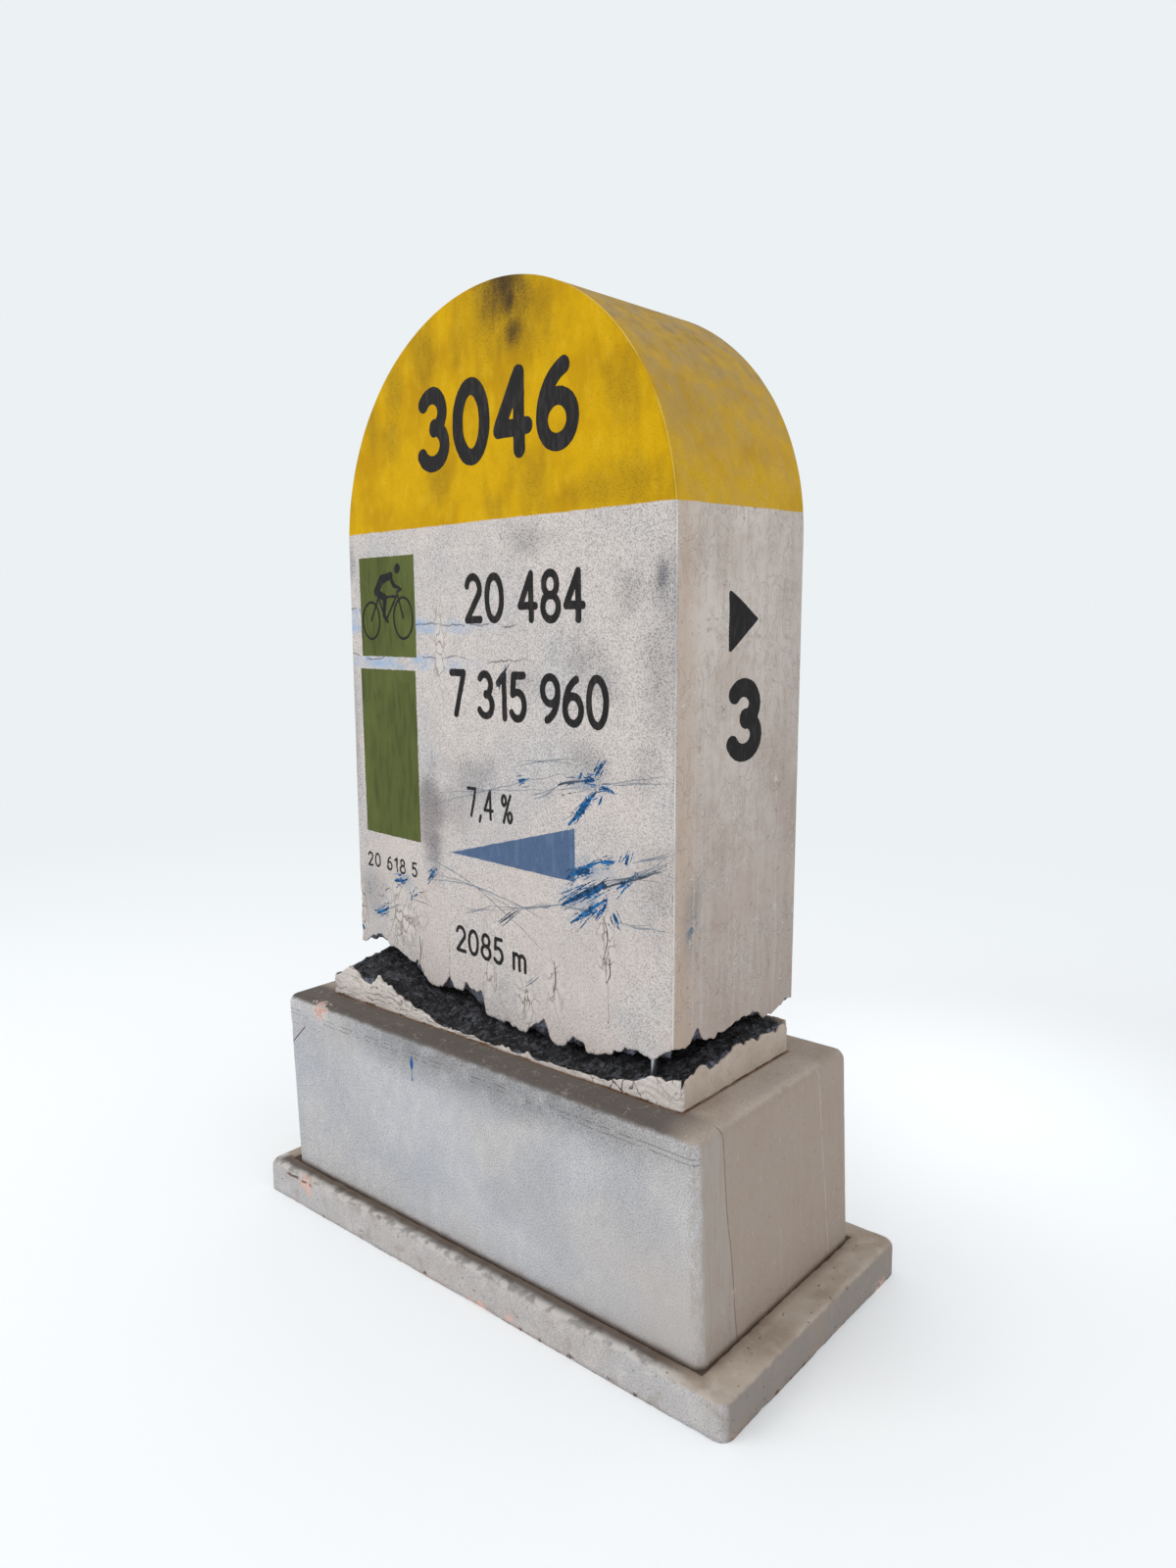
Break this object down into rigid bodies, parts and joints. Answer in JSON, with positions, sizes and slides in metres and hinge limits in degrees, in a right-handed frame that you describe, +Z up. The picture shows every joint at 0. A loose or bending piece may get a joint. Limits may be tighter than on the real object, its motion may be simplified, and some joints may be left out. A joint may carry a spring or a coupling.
{
  "type": "mountain pass marker post",
  "caption": "Round-headed marker post broken across its foot, its upper part turned on steel rods above a low stub, on a block pedestal and slab plinth.",
  "frame": {"origin": "middle of the plinth's underside", "axes": "+Z up; the painted front faces -Y; +X runs to the right as seen from the front, along the plinth's long side"},
  "size_m": [0.526, 0.258, 0.795],
  "materials": {
    "post_coat": "matte, sprayed and brushed, stained",
    "pedestal_coat": "matte, sprayed and brushed, dusty",
    "plinth_coat": "matte, sprayed and brushed, dirty",
    "break_black": "dull, torn and crumbled",
    "sign_paint": "matte brush paint",
    "rod_steel": "bright drawn bar"
  },
  "bodies": {
    "root": {"plinth": "plinth_coat", "pedestal": "pedestal_coat", "post_stub": "post_coat", "upper_post": "post_coat", "steel_rod_front": "rod_steel", "steel_rod_left": "rod_steel", "steel_rod_back": "rod_steel"}
  },
  "joints": []
}
